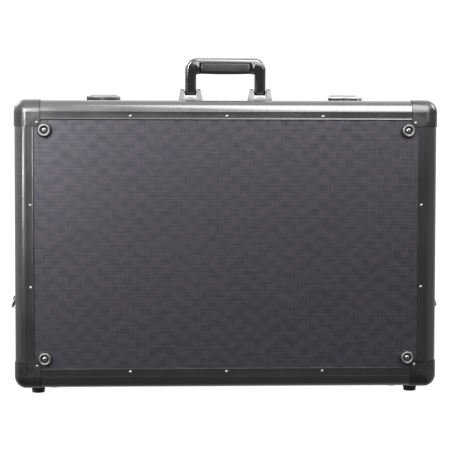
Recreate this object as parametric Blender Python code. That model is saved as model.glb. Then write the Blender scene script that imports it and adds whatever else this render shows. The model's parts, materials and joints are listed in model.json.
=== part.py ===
"""Aluminium attache case standing on its bottom feet, handle up, lid shut.

X runs to the right along the hinge line, +Y from the base's face to the lid's, and +Z up. The origin is
on the ground under the middle of the case. Every length is in metres.

Each half is built in shell coordinates: "inset" is the distance in from the outermost side of the case,
and "depth" is the distance in from the outermost plane of that half's face.
"""

import math

import bmesh
import bpy
from mathutils import Vector

# Driving dimensions
WIDTH = 0.650
HEIGHT = 0.442
BASE_DEPTH = 0.090
LID_DEPTH = 0.060
GAP = 0.0003  # clearance between pieces that touch
STAND_HEIGHT = 0.0133  # ground to the bottom of the shell
FACE_FOOT_PROUD = 0.008  # face foot above the face

# Shell extrusions
NOSE = 0.0174  # radius of the round nose along every edge
FLANGE_DROP = 0.0016  # flange surface below the nose
FLANGE_WIDTH = 0.0303  # side of the case to the flange's inner edge
SHEET = 0.0012  # thickness of flanges
PANEL = 0.004  # thickness of the panels and of the bands
LINING = 0.0166  # thickness of the foam behind each panel
BEAD_RISE = 0.0004  # bead along a flange's inner edge
NOSE_BLOCK = 0.009  # solid corner of a face extrusion
EXTRUSION_STOP = 0.031  # where an extrusion ends, under its corner cap
RIM_FLANGE = 0.012  # parting line to the edge of the rim's outer flange
RIM_BODY = 0.0083  # depth of the rim's solid part
RIM_INNER = 0.0092  # inset of the rim's inner side
ARC_STEPS = 6  # straight facets in a quarter turn

# Corner caps
CAP_SHEET = 0.0008
CAP_PROUD = GAP + CAP_SHEET  # outside of a cap above the nose it covers
CAP_LEG = 0.040  # outermost side of the case to the end of a cap's leg
CAP_PLATE_RADIUS = 0.008

# Handle, measured from the top of the shell
HANDLE_DEPTH_POSITION = 0.060
PIVOT_RISE = 0.014
HANDLE_TOP = 0.0666
GRIP_UNDERSIDE = 0.0415
ARM_INNER = 0.0453  # from the middle of the handle to an arm's sides
ARM_OUTER = 0.0629
BOW_HALF_DEPTH = 0.0085
HANDLE_PIN_RADIUS = 0.002

# Places that come from the driving dimensions
FRONT = (FACE_FOOT_PROUD - CAP_PROUD - BASE_DEPTH - LID_DEPTH) / 2
BACK = FRONT + BASE_DEPTH + LID_DEPTH
PARTING = FRONT + BASE_DEPTH
BOTTOM = STAND_HEIGHT
TOP = BOTTOM + HEIGHT
SHEET_UNDER = FLANGE_DROP + SHEET  # inset of a flange's underside
WALL_OUTER = SHEET_UNDER + GAP
WALL_INNER = WALL_OUTER + PANEL
LEAF = 0.0015  # thickness of hinge, latch and bracket plates
LEAF_UNDER = FLANGE_DROP - GAP  # inset of a leaf's underside, just clear of the flanges
LEAF_TOP = LEAF_UNDER - LEAF
LATCH_X = 0.190
HINGE_X = 0.190

# Pivot pins
PIN_CLEARANCE = 0.00035
PIN_SIDES = 16
ALONG_X = Vector((1, 0, 0))


def clear_scene():
    for thing in list(bpy.data.objects):
        bpy.data.objects.remove(thing, do_unlink=True)


def make_material(name, colour, roughness, metallic):
    material = bpy.data.materials.new(name)
    material.use_nodes = True
    shader = material.node_tree.nodes["Principled BSDF"]
    shader.inputs["Base Color"].default_value = (*colour, 1.0)
    shader.inputs["Roughness"].default_value = roughness
    shader.inputs["Metallic"].default_value = metallic
    return material


def make_object(name, mesh_builder, material, smooth_angle=35.0, closed=True):
    """Turns a bmesh into an object; the faces of a closed one are turned to point out."""
    if closed:
        bmesh.ops.recalc_face_normals(mesh_builder, faces=mesh_builder.faces)
    mesh = bpy.data.meshes.new(name)
    mesh_builder.to_mesh(mesh)
    mesh_builder.free()
    mesh.shade_smooth()
    mesh.set_sharp_from_angle(angle=math.radians(smooth_angle))
    mesh.materials.append(material)
    thing = bpy.data.objects.new(name, mesh)
    bpy.context.scene.collection.objects.link(thing)
    return thing


def combine(target, tool, operation):
    """Joins, cuts or intersects target with tool, and leaves one plain mesh."""
    modifier = target.modifiers.new("combine", "BOOLEAN")
    modifier.operation = operation
    modifier.solver = "EXACT"
    modifier.object = tool
    graph = bpy.context.evaluated_depsgraph_get()
    result = bpy.data.meshes.new_from_object(target.evaluated_get(graph))
    target.modifiers.clear()
    target.data = result
    bpy.data.objects.remove(tool, do_unlink=True)


def arc(centre, radius, start_degrees, end_degrees, steps):
    """Points of an arc in a plane, both ends included."""
    points = []
    for step in range(steps + 1):
        angle = math.radians(start_degrees + (end_degrees - start_degrees) * step / steps)
        points.append((centre[0] + radius * math.cos(angle), centre[1] + radius * math.sin(angle)))
    return points


def bridge_sections(sections, closed):
    """Skins equal rings of points one to the next; an open run gets flat ends."""
    builder = bmesh.new()
    rings = [[builder.verts.new(point) for point in section] for section in sections]
    pairs = list(zip(rings, rings[1:]))
    if closed:
        pairs.append((rings[-1], rings[0]))
    else:
        builder.faces.new(rings[0])
        builder.faces.new(rings[-1])
    for one, two in pairs:
        for index in range(len(one)):
            following = (index + 1) % len(one)
            builder.faces.new((one[index], one[following], two[following], two[index]))
    return builder


def prism(name, outline, place, start, end, material):
    """Extrudes an outline; place(a, b, t) gives the point for outline point (a, b) at distance t."""
    sections = [[place(a, b, t) for a, b in outline] for t in (start, end)]
    return make_object(name, bridge_sections(sections, closed=False), material)


def along_z(x, y, z):
    return Vector((x, y, z))


def box(name, low, high, material):
    outline = [(low[0], low[1]), (high[0], low[1]), (high[0], high[1]), (low[0], high[1])]
    return prism(name, outline, along_z, low[2], high[2], material)


def turned(name, profile, centre, axis, material, sides=24):
    """Turns a profile of (radius, height) about an axis through centre, flat at both ends."""
    turn = axis.to_track_quat("Z", "Y")
    sections = []
    for radius, height in profile:
        ring = arc((0, 0), radius, 0, 360 - 360 / sides, sides - 1)
        sections.append([centre + turn @ Vector((x, y, height)) for x, y in ring])
    return make_object(name, bridge_sections(sections, closed=False), material)


def inset_outline(outline, distance):
    """Moves every side of an anticlockwise outline in by distance."""
    moved = []
    count = len(outline)
    for index in range(count):
        before = Vector(outline[index - 1])
        here = Vector(outline[index])
        after = Vector(outline[(index + 1) % count])
        side_in = (here - before).normalized()
        side_out = (after - here).normalized()
        normal = Vector((-side_in.y - side_out.y, side_in.x + side_out.x))
        normal.normalize()
        reach = distance / max(normal.dot(Vector((-side_in.y, side_in.x))), 0.3)
        moved.append(tuple(here + normal * reach))
    return moved


def rounded_prism(name, outline, place, half_depth, edge_radius, material, steps=3):
    """A prism of an outline, its two rims rounded off."""
    layers = []
    for step in range(steps + 1):
        angle = math.radians(90 * step / steps)
        inset = edge_radius * (1 - math.sin(angle))
        layers.append((inset, -half_depth + edge_radius * (1 - math.cos(angle))))
    layers += [(inset, -depth) for inset, depth in reversed(layers)]
    sections = []
    for inset, depth in layers:
        sections.append([place(a, b, depth) for a, b in inset_outline(outline, inset)])
    return make_object(name, bridge_sections(sections, closed=False), material, smooth_angle=50.0)


class Half:
    """One half of the shell, with its face's outermost plane and which way is inward."""

    def __init__(self, name, face, inward, depth):
        self.name = name
        self.face = face
        self.inward = inward
        self.depth = depth

    def at(self, x, depth, z):
        return Vector((x, self.face + self.inward * depth, z))


def shell_outline(inset):
    """The case seen from the front, moved in by inset; the corners share their centres."""
    radius = NOSE - inset
    reach_x = WIDTH / 2 - NOSE
    low_z, high_z = BOTTOM + NOSE, TOP - NOSE
    points = []
    for (x, z), start in (
        ((reach_x, low_z), 270),
        ((reach_x, high_z), 0),
        ((-reach_x, high_z), 90),
        ((-reach_x, low_z), 180),
    ):
        points += arc((x, z), radius, start, start + 90, ARC_STEPS)
    return points


def swept_ring(name, profile, half, material):
    """A ring around the case whose section is a list of (inset, depth)."""
    outlines = [[half.at(x, depth, z) for x, z in shell_outline(inset)] for inset, depth in profile]
    sections = [list(section) for section in zip(*outlines)]
    return make_object(name, bridge_sections(sections, closed=True), material)


def flange_edge(first, second):
    """A flange's outer surface from the nose to its beaded edge, as (inset, depth)."""
    bead = [
        (FLANGE_WIDTH - 0.0030, 0),
        (FLANGE_WIDTH - 0.0022, 0.75),
        (FLANGE_WIDTH - 0.0012, 1.0),
        (FLANGE_WIDTH - 0.0003, 0.6),
    ]
    points = [(NOSE, FLANGE_DROP)]
    points += [(inset, FLANGE_DROP - BEAD_RISE * rise) for inset, rise in bead]
    points.append((FLANGE_WIDTH, FLANGE_DROP + SHEET / 2))
    points.append((FLANGE_WIDTH, SHEET_UNDER))
    return [(point[first], point[second]) for point in points]


def nose_arc():
    return [(NOSE - x, NOSE - y) for x, y in arc((0, 0), NOSE, 0, 90, ARC_STEPS)]


def face_extrusion_profile():
    """Round nose, a flange on the face and one on the side, and a solid inner corner."""
    profile = nose_arc() + flange_edge(0, 1)
    profile += [(NOSE_BLOCK, SHEET_UNDER), (NOSE_BLOCK, NOSE_BLOCK), (SHEET_UNDER, NOSE_BLOCK)]
    profile += list(reversed(flange_edge(1, 0)))
    return profile


def post_profile():
    """Round nose with two flanges that wrap the band's rounded corner."""
    profile = nose_arc() + flange_edge(0, 1)
    inner = arc((NOSE, NOSE), NOSE - SHEET_UNDER, 270, 180, ARC_STEPS)
    profile += inner + list(reversed(flange_edge(1, 0)))
    return profile


def build_face_frame(half, metal):
    """Four lengths of the face extrusion, each stopping short under the corner caps."""
    profile = face_extrusion_profile()
    reach_x = WIDTH / 2 - EXTRUSION_STOP
    low_z, high_z = BOTTOM + EXTRUSION_STOP, TOP - EXTRUSION_STOP
    for side, along_x in (
        ("top", lambda a, b, t: half.at(t, b, TOP - a)),
        ("bottom", lambda a, b, t: half.at(t, b, BOTTOM + a)),
    ):
        prism(f"{half.name}_frame_{side}", profile, along_x, -reach_x, reach_x, metal)
    for side, upright in (
        ("left", lambda a, b, t: half.at(a - WIDTH / 2, b, t)),
        ("right", lambda a, b, t: half.at(WIDTH / 2 - a, b, t)),
    ):
        prism(f"{half.name}_frame_{side}", profile, upright, low_z, high_z, metal)


def corners():
    """Name, X side and Z side of the four corners of a half."""
    for z_name, z_side in (("top", 1), ("bottom", -1)):
        for x_name, x_side in (("left", -1), ("right", 1)):
            yield f"{z_name}_{x_name}", x_side, z_side


def corner_place(half, x_side, z_side):
    """Maps (inset in X, depth, inset in Z) near one corner to a point of the case."""
    z_plane = TOP if z_side > 0 else BOTTOM
    return lambda a, b, c: half.at(x_side * (WIDTH / 2 - a), b, z_plane - z_side * c)


def build_posts(half, metal):
    profile = post_profile()
    start, end = EXTRUSION_STOP, half.depth - RIM_FLANGE - GAP
    for name, x_side, z_side in corners():
        place = corner_place(half, x_side, z_side)
        prism(f"{half.name}_post_{name}", profile, lambda a, c, t: place(a, t, c), start, end, metal)


def cap_skin(builder):
    """Outer skin of a ball-corner cap: an eighth of a sphere, three round legs and three plates.

    The three distances of a point are measured in from the three outermost planes of the corner.
    """
    radius = NOSE + CAP_PROUD
    step = NOSE + CAP_PROUD
    plate = FLANGE_DROP - SHEET - GAP
    seen = {}

    def vertex(point):
        key = tuple(round(value, 6) for value in point)
        if key not in seen:
            seen[key] = builder.verts.new(point)
        return seen[key]

    def face(points):
        ring = []
        for point in points:
            corner = vertex(point)
            if corner not in ring:
                ring.append(corner)
        if len(ring) > 2:
            builder.faces.new(ring)

    def ball(row, column):
        polar = math.radians(90 * row / ARC_STEPS)
        turn = math.radians(90 * column / ARC_STEPS)
        direction = (math.sin(polar) * math.cos(turn), math.sin(polar) * math.sin(turn), math.cos(polar))
        return tuple(NOSE - radius * value for value in direction)

    for row in range(ARC_STEPS):
        for column in range(ARC_STEPS):
            quad = ((row, column), (row + 1, column), (row + 1, column + 1), (row, column + 1))
            face([ball(*place) for place in quad])

    for leg in range(3):
        one, two = (leg + 1) % 3, (leg + 2) % 3

        def point(along, across, up):
            place = [0.0, 0.0, 0.0]
            place[leg], place[one], place[two] = along, across, up
            return tuple(place)

        def flat(along, low, high):
            """A rectangle at one distance along, from low to high, both (across, up)."""
            ring = (low, (high[0], low[1]), high, (low[0], high[1]))
            face([point(along, *place) for place in ring])

        round_edge = [(NOSE - x, NOSE - y) for x, y in arc((0, 0), radius, 0, 90, ARC_STEPS)]
        for near, distant in ((NOSE, step), (step, CAP_LEG)):
            for (a, b), (c, d) in zip(round_edge, round_edge[1:]):
                face([point(near, a, b), point(distant, a, b), point(distant, c, d), point(near, c, d)])

        # The plate on the face that this leg's distance is measured from, a step lower than the legs.
        rise = -CAP_PROUD
        flat(rise, (NOSE, NOSE), (step, step))
        flat(rise, (step, NOSE), (CAP_LEG, step))
        flat(rise, (NOSE, step), (step, CAP_LEG))
        for end in ((CAP_LEG, step), (step, CAP_LEG)):
            start = (step, step)
            face([point(rise, *start), point(rise, *end), point(plate, *end), point(plate, *start)])
        far = CAP_LEG - CAP_PLATE_RADIUS
        rounded = arc((far, far), CAP_PLATE_RADIUS, 0, 90, 4)
        outline = [(step, step), (CAP_LEG, step)] + rounded + [(step, CAP_LEG)]
        face([point(plate, a, b) for a, b in outline])


def build_caps(half, metal):
    """Pressed ball-corner caps: an open skin, given its sheet's thickness on the inside."""
    for name, x_side, z_side in corners():
        place = corner_place(half, x_side, z_side)
        builder = bmesh.new()
        cap_skin(builder)
        for corner in builder.verts:
            corner.co = place(*corner.co)
        bmesh.ops.recalc_face_normals(builder, faces=builder.faces)
        # The face nearest the very corner looks away from the middle of the case, or all are turned over.
        middle = Vector((0, half.at(0, half.depth, 0).y, (BOTTOM + TOP) / 2))
        outermost = max(builder.faces, key=lambda item: (item.calc_center_median() - middle).length)
        if outermost.normal.dot(outermost.calc_center_median() - middle) < 0:
            bmesh.ops.reverse_faces(builder, faces=builder.faces)
        cap = make_object(f"{half.name}_corner_{name}", builder, metal, closed=False)
        thick = cap.modifiers.new("sheet", "SOLIDIFY")
        thick.thickness = CAP_SHEET
        thick.offset = -1.0
        thick.use_even_offset = True


def build_rim(half, metal):
    """The extrusion around the parting line: the base's has a groove, the lid's a tongue."""
    edge = half.depth - GAP / 2
    groove_low, groove_high, groove_depth = 0.0036, 0.0068, 0.003
    tongue_height = 0.0025
    profile = [
        (FLANGE_DROP, edge),
        (FLANGE_DROP, half.depth - RIM_FLANGE),
        (SHEET_UNDER, half.depth - RIM_FLANGE),
        (SHEET_UNDER, half.depth - RIM_BODY),
        (RIM_INNER - SHEET, half.depth - RIM_BODY),
        (RIM_INNER - SHEET, half.depth - RIM_FLANGE),
        (RIM_INNER, half.depth - RIM_FLANGE),
        (RIM_INNER, edge),
    ]
    if half.inward > 0:
        profile += [
            (groove_high, edge),
            (groove_high, edge - groove_depth),
            (groove_low, edge - groove_depth),
            (groove_low, edge),
        ]
    else:
        profile += [
            (groove_high - 0.0007, edge),
            (groove_high - 0.0011, edge + tongue_height),
            (groove_low + 0.0011, edge + tongue_height),
            (groove_low + 0.0007, edge),
        ]
    swept_ring(f"{half.name}_rim", profile, half, metal)


def build_shell(half, metal, cap_metal, laminate, foam):
    build_face_frame(half, metal)
    build_posts(half, metal)
    build_caps(half, cap_metal)
    build_rim(half, metal)

    def place(x, z, depth):
        return half.at(x, depth, z)

    panel_edge = shell_outline(NOSE_BLOCK + GAP)
    prism(f"{half.name}_panel", panel_edge, place, WALL_OUTER, WALL_INNER, laminate)

    band_start, band_end = NOSE_BLOCK + GAP, half.depth - RIM_BODY - GAP
    band = [(WALL_OUTER, band_start), (WALL_OUTER, band_end)]
    band += [(WALL_INNER, band_end), (WALL_INNER, band_start)]
    swept_ring(f"{half.name}_band", band, half, laminate)

    lining_edge = shell_outline(RIM_INNER + 2 * GAP)
    start = WALL_INNER + GAP
    prism(f"{half.name}_lining", lining_edge, place, start, start + LINING, foam)


def build_feet(rubber):
    """Four round feet on the base's face, and four tapered ones that the case stands on."""
    from_edge = 0.046
    foot_radius = 0.011
    recess_radius = 0.0062
    recess_depth = 0.004
    seat = -(WALL_OUTER - GAP)
    profile = [
        (foot_radius, seat),
        (foot_radius, FACE_FOOT_PROUD - 0.0045),
        (foot_radius - 0.0004, FACE_FOOT_PROUD - 0.0012),
        (foot_radius - 0.0013, FACE_FOOT_PROUD),
        (recess_radius, FACE_FOOT_PROUD),
        (recess_radius - 0.0008, FACE_FOOT_PROUD - recess_depth),
    ]
    for name, x_side, z_side in corners():
        x = x_side * (WIDTH / 2 - from_edge)
        z = TOP - from_edge if z_side > 0 else BOTTOM + from_edge
        turned(f"face_foot_{name}", profile, Vector((x, FRONT, z)), Vector((0, -1, 0)), rubber)

    top_radius, bottom_radius = 0.0111, 0.0100
    on_bead = FLANGE_DROP - BEAD_RISE - GAP
    stand = [
        (bottom_radius - 0.0015, 0.0),
        (bottom_radius, 0.0014),
        (top_radius, STAND_HEIGHT - 0.001),
        (top_radius, STAND_HEIGHT + on_bead),
    ]
    places = (("base", 0.292, FRONT + 0.054), ("lid", 0.270, BACK - 0.039))
    for half_name, reach, y in places:
        for side_name, side in (("left", -1), ("right", 1)):
            centre = Vector((side * reach, y, 0))
            turned(f"stand_foot_{half_name}_{side_name}", stand, centre, Vector((0, 0, 1)), rubber)


def knuckle_outline(radius, axis_rise, arm_start, arm_end, leaf_end):
    """Side view of a hinge leaf with its knuckle, as (distance from the axis, rise off the shell)."""
    return [
        (leaf_end, -LEAF_UNDER),
        (leaf_end, -LEAF_TOP),
        (arm_end, -LEAF_TOP),
        (arm_end, axis_rise),
        *arc((0, axis_rise), radius, 0, 180, 8)[1:-1],
        (-radius, axis_rise),
        *arc((0, axis_rise), radius, 180, 265, 4)[1:],
        (arm_start, -LEAF_UNDER),
    ]


def rod(radius, half_length):
    """Profile of a plain round rod for turned()."""
    return [(radius, -half_length), (radius, half_length)]


def build_hinges(chrome):
    """Two butt hinges under the parting line; the pin is staked into the base's leaf."""
    radius, axis_rise, leaf_end = 0.0032, 0.0045, 0.022
    half_length, middle_half = 0.025, 0.0089  # of the hinge, and of the lid's single knuckle
    pin_radius = 0.0015
    pin_grip = 0.004  # how far the pin reaches into each outer knuckle
    outline = knuckle_outline(radius, axis_rise, 0.0004, radius, leaf_end)
    plate = [(radius, -LEAF_UNDER), (leaf_end, -LEAF_UNDER), (leaf_end, -LEAF_TOP), (radius, -LEAF_TOP)]
    outer_knuckles = ((-half_length, -middle_half - GAP), (middle_half + GAP, half_length))
    for name, x in (("left", -HINGE_X), ("right", HINGE_X)):
        axis_point = Vector((x, PARTING, BOTTOM - axis_rise))
        for owner, side in (("base", -1), ("lid", 1)):

            def place(a, b, t):
                return Vector((x + t, PARTING + side * a, BOTTOM - b))

            leaf = prism(f"hinge_{name}_{owner}_leaf", plate, place, -half_length, half_length, chrome)
            spans = outer_knuckles if owner == "base" else ((-middle_half, middle_half),)
            for start, end in spans:
                combine(leaf, prism("tool", outline, place, start, end, chrome), "UNION")
            if owner == "base":
                pin = rod(pin_radius, middle_half + pin_grip)
                combine(leaf, turned("tool", pin, axis_point, ALONG_X, chrome, PIN_SIDES), "UNION")
            else:
                hole = rod(pin_radius + PIN_CLEARANCE, half_length)
                combine(leaf, turned("tool", hole, axis_point, ALONG_X, chrome, PIN_SIDES), "DIFFERENCE")


def build_latches(chrome, button_metal):
    """On each side of the handle: a knuckled plate on the base, its hasp, and a lock on the lid."""
    radius, axis_rise = 0.0023, 0.0055  # of the knuckles, and of their axis above the shell
    axis_y = PARTING - 0.009
    pin_radius, pin_sides, clearance = 0.0011, 12, 0.0003
    half_length = 0.0265
    knuckles = ((-half_length, -0.0213), (-0.0062, 0.0062), (0.0213, half_length))
    hasp_half = 0.0210
    hasp_knuckles = ((-hasp_half, -0.0065), (0.0065, hasp_half))
    plate_front, plate_back = -0.019, 0.008  # from the axis
    for name, side in (("left", -1), ("right", 1)):
        x = side * LATCH_X
        axis_point = Vector((x, axis_y, TOP + axis_rise))

        def place(a, b, t):
            return Vector((x + t, axis_y + a, TOP + b))

        low, high = -LEAF_UNDER, -LEAF_TOP
        outline = [(plate_front, low), (plate_back, low), (plate_back, high), (plate_front, high)]
        plate = prism(f"latch_plate_{name}", outline, place, -half_length, half_length, chrome)
        knuckle = [(-radius, low / 2), (radius, low / 2)]
        knuckle += arc((0, axis_rise), radius, 0, 180, 8)
        for start, end in knuckles:
            combine(plate, prism("tool", knuckle, place, start, end, chrome), "UNION")
        pin = rod(pin_radius, half_length - 0.001)
        combine(plate, turned("tool", pin, axis_point, ALONG_X, chrome, pin_sides), "UNION")

        hasp = prism(f"hasp_{name}", hasp_outline(radius, axis_rise), place, -hasp_half, hasp_half, chrome)
        curl = hasp_curl(radius, axis_rise)
        for start, end in hasp_knuckles:
            combine(hasp, prism("tool", curl, place, start, end, chrome), "UNION")
        hole = rod(pin_radius + clearance, half_length)
        combine(hasp, turned("tool", hole, axis_point, ALONG_X, chrome, pin_sides), "DIFFERENCE")

        build_lock(name, side, x, chrome, button_metal)


HASP_SHEET = 0.0015
HASP_KNUCKLE_CLEARANCE = 0.0006


def hasp_outline(radius, axis_rise):
    """Side view of the hasp: a flat strip whose free edge is turned up as a finger lip."""
    reach = 0.029  # axis to the free edge
    lip_rise = 0.0026
    top = axis_rise + radius
    return [
        (radius + HASP_KNUCKLE_CLEARANCE, top - HASP_SHEET),
        (reach - 0.005, top - HASP_SHEET),
        (reach - 0.0006, top + 0.0001),
        (reach, top + lip_rise),
        (reach - 0.0016, top + lip_rise),
        (reach - 0.0055, top),
        (radius + HASP_KNUCKLE_CLEARANCE, top),
    ]


def hasp_curl(radius, axis_rise):
    """Side view of one of the hasp's knuckles and the tab that joins it to the strip."""
    top = axis_rise + radius
    tab_end = radius + HASP_KNUCKLE_CLEARANCE + 0.001
    curl = arc((0, axis_rise), radius, 90, 350, 13)
    return curl + [(radius, top - HASP_SHEET), (tab_end, top - HASP_SHEET), (tab_end, top)]


def build_lock(name, side, x, chrome, button_metal):
    """The lock under the hasp's end, with a release button that slides outwards in a pocket."""
    low_y, high_y = PARTING + 0.0035, PARTING + 0.0290
    half_width, corner_radius = 0.022, 0.004
    lock_rise = 0.0057
    button_half, button_travel, button_rise = 0.007, 0.005, 0.0022
    button_low, button_high = PARTING + 0.0208, PARTING + 0.0268
    pocket_depth = 0.003

    def place(a, b, t):
        return Vector((x + a, b, t))

    inner = half_width - corner_radius
    outline = [(-half_width, low_y), (half_width, low_y)]
    outline += arc((inner, high_y - corner_radius), corner_radius, 0, 90, 4)
    outline += arc((-inner, high_y - corner_radius), corner_radius, 90, 180, 4)
    top = TOP + lock_rise
    lock = prism(f"lock_body_{name}", outline, place, TOP - LEAF_UNDER, top, chrome)
    ends = sorted((x - side * (button_half + GAP), x + side * (button_half + button_travel + GAP)))
    floor = top - pocket_depth
    low = (ends[0], button_low - GAP, floor)
    high = (ends[1], button_high + GAP, top + pocket_depth)
    combine(lock, box("tool", low, high, chrome), "DIFFERENCE")

    low = (x - button_half, button_low, floor + GAP)
    high = (x + button_half, button_high, top + button_rise)
    box(f"lock_button_{name}", low, high, button_metal)


def handle_y(depth):
    return FRONT + HANDLE_DEPTH_POSITION + depth


def rounded_section(inner, outer, half_depth, radius):
    """A rounded rectangle from an inner to an outer point of the handle, across its depth."""
    inner, outer = Vector(inner), Vector(outer)
    across = (outer - inner).normalized()
    half_width = (outer - inner).length / 2
    middle = (inner + outer) / 2
    points = []
    for corner, start in enumerate((0, 90, 180, 270)):
        side = 1 if corner in (0, 3) else -1
        front = 1 if corner in (0, 1) else -1
        centre = (side * (half_width - radius), front * (half_depth - radius))
        for a, b in arc(centre, radius, start, start + 90, 3):
            place = middle + across * a
            points.append(Vector((place.x, handle_y(b), place.y)))
    return points


def bow_stations():
    """Half of the handle's bow: (inner point, outer point, half depth), from an arm's end to the middle."""
    outer_radius, inner_radius = 0.018, 0.0025  # of the bends
    end_radius = 0.0055  # round lower end of an arm, seen from the side
    growth_height = 0.030  # above the pivot, where the arm is as deep as the grip
    pivot, top, underside = TOP + PIVOT_RISE, TOP + HANDLE_TOP, TOP + GRIP_UNDERSIDE
    stations = []
    for angle in (80, 60, 40, 20, 0):
        z = pivot - end_radius * math.sin(math.radians(angle))
        depth = end_radius * math.cos(math.radians(angle))
        stations.append(((ARM_INNER, z), (ARM_OUTER, z), depth))
    bend_start = underside - inner_radius
    for step in range(1, 4):
        z = pivot + (bend_start - pivot) * step / 4
        growth = min((z - pivot) / growth_height, 1.0)
        depth = end_radius + (BOW_HALF_DEPTH - end_radius) * growth
        stations.append(((ARM_INNER, z), (ARM_OUTER, z), depth))
    inner_bend = arc((ARM_INNER - inner_radius, bend_start), inner_radius, 0, 90, 8)
    outer_bend = arc((ARM_OUTER - outer_radius, top - outer_radius), outer_radius, 0, 90, 8)
    return stations + [(inner, outer, BOW_HALF_DEPTH) for inner, outer in zip(inner_bend, outer_bend)]


def build_handle(gloss, grip_rubber, chrome):
    """A moulded bow on two brackets, with a soft grip let into its underside."""
    notch_half, notch_top = 0.0396, 0.0600
    edge_radius = 0.0055
    clear = 0.03
    pivot = TOP + PIVOT_RISE
    underside = TOP + GRIP_UNDERSIDE

    sections = []
    stations = bow_stations()
    for side, run in ((1, stations), (-1, reversed(stations))):
        for inner, outer, depth in run:
            radius = min(edge_radius, depth * 0.85)
            section = rounded_section(inner, outer, depth, radius)
            sections.append([Vector((side * point.x, point.y, point.z)) for point in section])
    bow = make_object("handle_bow", bridge_sections(sections, closed=False), gloss, smooth_angle=50.0)
    low = (-notch_half, handle_y(-clear), underside - clear / 3)
    high = (notch_half, handle_y(clear), TOP + notch_top)
    combine(bow, box("tool", low, high, gloss), "DIFFERENCE")
    for side in (-1, 1):
        hole = rod(HANDLE_PIN_RADIUS + PIN_CLEARANCE, 0.012)
        centre = Vector((side * (ARM_INNER + ARM_OUTER) / 2, handle_y(0), pivot))
        combine(bow, turned("tool", hole, centre, ALONG_X, gloss, PIN_SIDES), "DIFFERENCE")

    build_grip(notch_half - GAP, underside, TOP + notch_top - GAP, grip_rubber)
    for name, side in (("left", -1), ("right", 1)):
        build_bracket(name, side, pivot, chrome)


def build_grip(half_length, underside, top, grip_rubber):
    """The soft grip, its underside slightly bowed."""
    belly, steps = 0.0007, 8
    half_depth, edge_radius = 0.0098, 0.0045
    outline = []
    for step in range(steps + 1):
        x = half_length * (2 * step / steps - 1)
        outline.append((x, underside + belly * (x / half_length) ** 2))
    outline += [(half_length, top), (-half_length, top)]

    def place(a, b, t):
        return Vector((a, handle_y(t), b))

    rounded_prism("handle_grip", outline, place, half_depth, edge_radius, grip_rubber)


def build_bracket(name, side, pivot, chrome):
    """Two tapered legs either side of an arm, a low domed saddle between, and the pivot pin."""
    inner_leg = ((0.0353, 0.0445), (0.0390, 0.0440))  # leg's X span at its base, then at its top
    outer_leg = ((0.0638, 0.0726), (0.0643, 0.0695))
    leg_top, leg_foot = TOP + 0.0185, TOP + 0.001
    leg_radius, leg_half_depth = 0.0045, 0.0105
    foot_z = TOP - LEAF_UNDER
    saddle_edge, saddle_rise, saddle_steps = TOP + 0.0030, 0.0030, 6
    base_inner, base_outer, base_half_depth = 0.0335, 0.0744, 0.0145
    pin_inner, pin_outer = 0.0420, 0.0665

    outline = [(inner_leg[0][0], foot_z), (outer_leg[0][1], foot_z)]
    outline += [(outer_leg[0][1], leg_foot), (outer_leg[1][1], leg_top), (outer_leg[1][0], leg_top)]
    outline.append((outer_leg[0][0], saddle_edge))
    for step in range(1, saddle_steps):
        share = step / saddle_steps
        x = outer_leg[0][0] + (inner_leg[0][1] - outer_leg[0][0]) * share
        outline.append((x, saddle_edge + saddle_rise * math.sin(math.pi * share)))
    outline += [(inner_leg[0][1], saddle_edge), (inner_leg[1][1], leg_top), (inner_leg[1][0], leg_top)]
    outline.append((inner_leg[0][0], leg_foot))

    def front_place(a, b, t):
        return Vector((side * a, handle_y(t), b))

    bracket = prism(f"handle_bracket_{name}", outline, front_place, -0.012, 0.012, chrome)

    below, shoulder = foot_z - 0.001, TOP + 0.003
    side_view = [(-leg_half_depth, below), (leg_half_depth, below), (leg_half_depth, shoulder)]
    side_view += arc((0, pivot), leg_radius, 15, 165, 8)
    side_view.append((-leg_half_depth, shoulder))

    def side_place(a, b, t):
        return Vector((side * t, handle_y(a), b))

    combine(bracket, prism("tool", side_view, side_place, 0.030, 0.080, chrome), "INTERSECT")

    ends = sorted((side * base_inner, side * base_outer))
    low = (ends[0], handle_y(-base_half_depth), foot_z)
    high = (ends[1], handle_y(base_half_depth), TOP - LEAF_TOP)
    combine(bracket, box("tool", low, high, chrome), "UNION")
    pin = [(HANDLE_PIN_RADIUS, pin_inner), (HANDLE_PIN_RADIUS, pin_outer)]
    pin_start = Vector((0, handle_y(0), pivot))
    combine(bracket, turned("tool", pin, pin_start, ALONG_X * side, chrome, PIN_SIDES), "UNION")


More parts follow.
